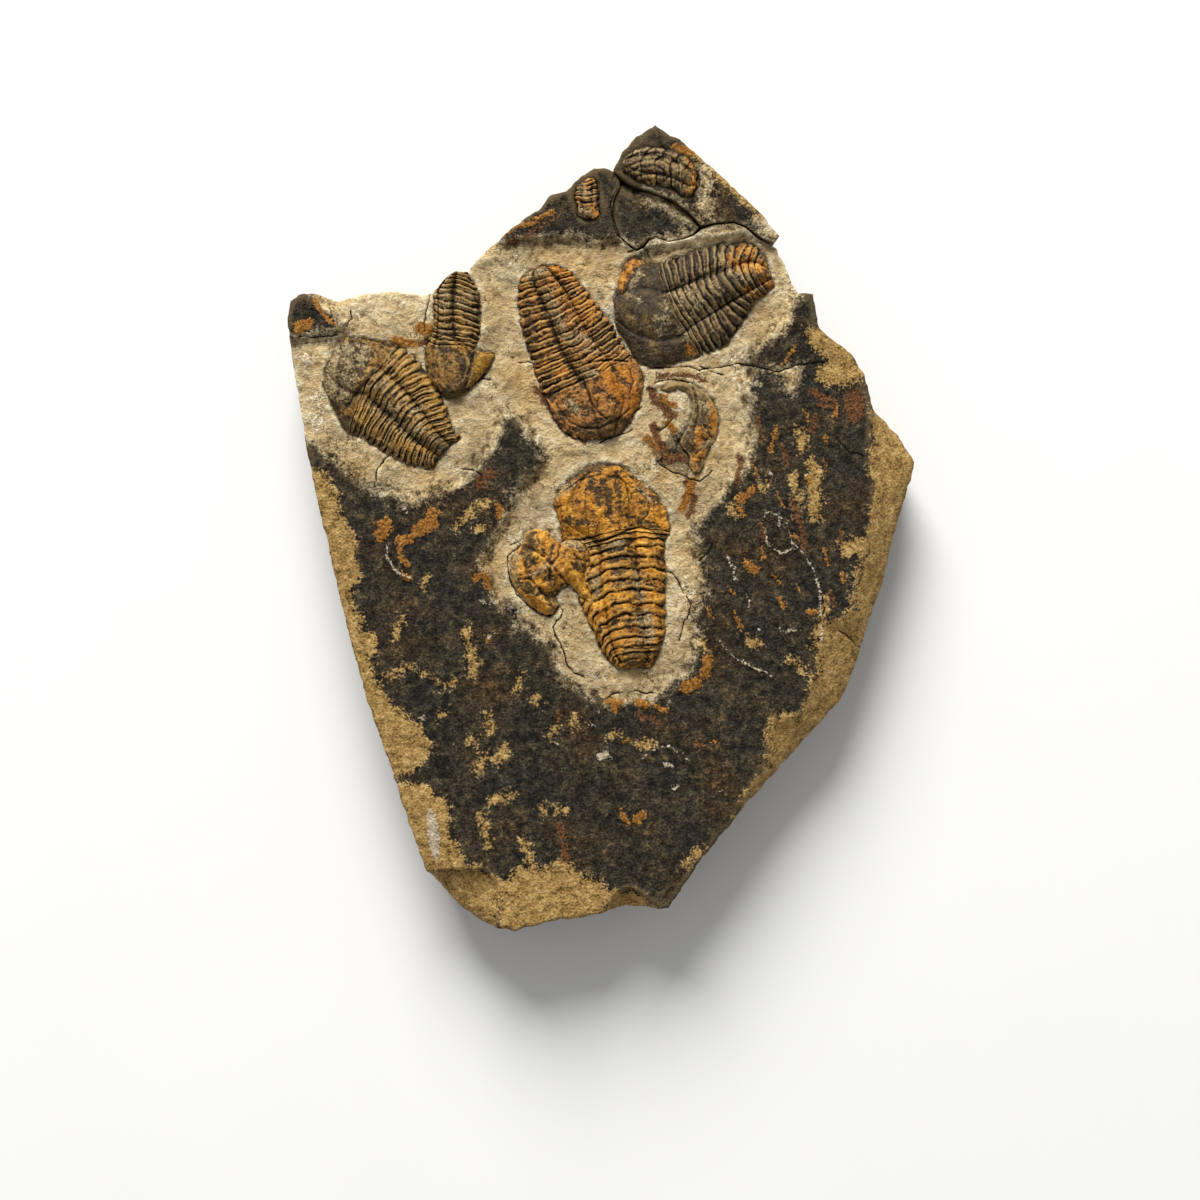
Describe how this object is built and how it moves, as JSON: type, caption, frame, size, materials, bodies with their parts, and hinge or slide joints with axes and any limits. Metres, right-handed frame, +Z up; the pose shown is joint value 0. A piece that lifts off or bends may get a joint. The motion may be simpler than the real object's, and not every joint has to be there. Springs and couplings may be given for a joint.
{
  "type": "ellipsocephalus trilobite plate",
  "caption": "Flat plate of dark split shale with ribbed fossil trilobites in pale cleared rock, and a glued-back corner; lies flat, fossils up.",
  "frame": {"origin": "under the middle of the plate's outline, on the flat face it rests on", "axes": "+Z up out of the fossil face, +Y along the long side towards the glued-back corner, +X across it"},
  "size_m": [0.1201, 0.154, 0.0187],
  "materials": {
    "shale": "dull split shale with a near black film, pale cleared ground and an olive weathered rim",
    "orange_fossil": "satin ochre to orange iron-stained shell with dark grooves",
    "brown_fossil": "satin brown iron-stained shell",
    "dark_fossil": "satin near black shell with worn tan edges",
    "khaki_fossil": "satin khaki shell with dark grooves"
  },
  "bodies": {
    "root": {"matrix_slab": "shale", "corner_fragment": "shale", "wedge_fragment": "shale", "trilobite_centre": "orange_fossil", "loose_cephalon": "orange_fossil", "trilobite_upper": "brown_fossil", "trilobite_dark": "dark_fossil", "trilobite_left": "khaki_fossil", "trilobite_upper_left": "khaki_fossil", "partial_cephalon": "dark_fossil", "trilobite_top_edge": "brown_fossil", "trilobite_corner": "dark_fossil"}
  },
  "joints": []
}
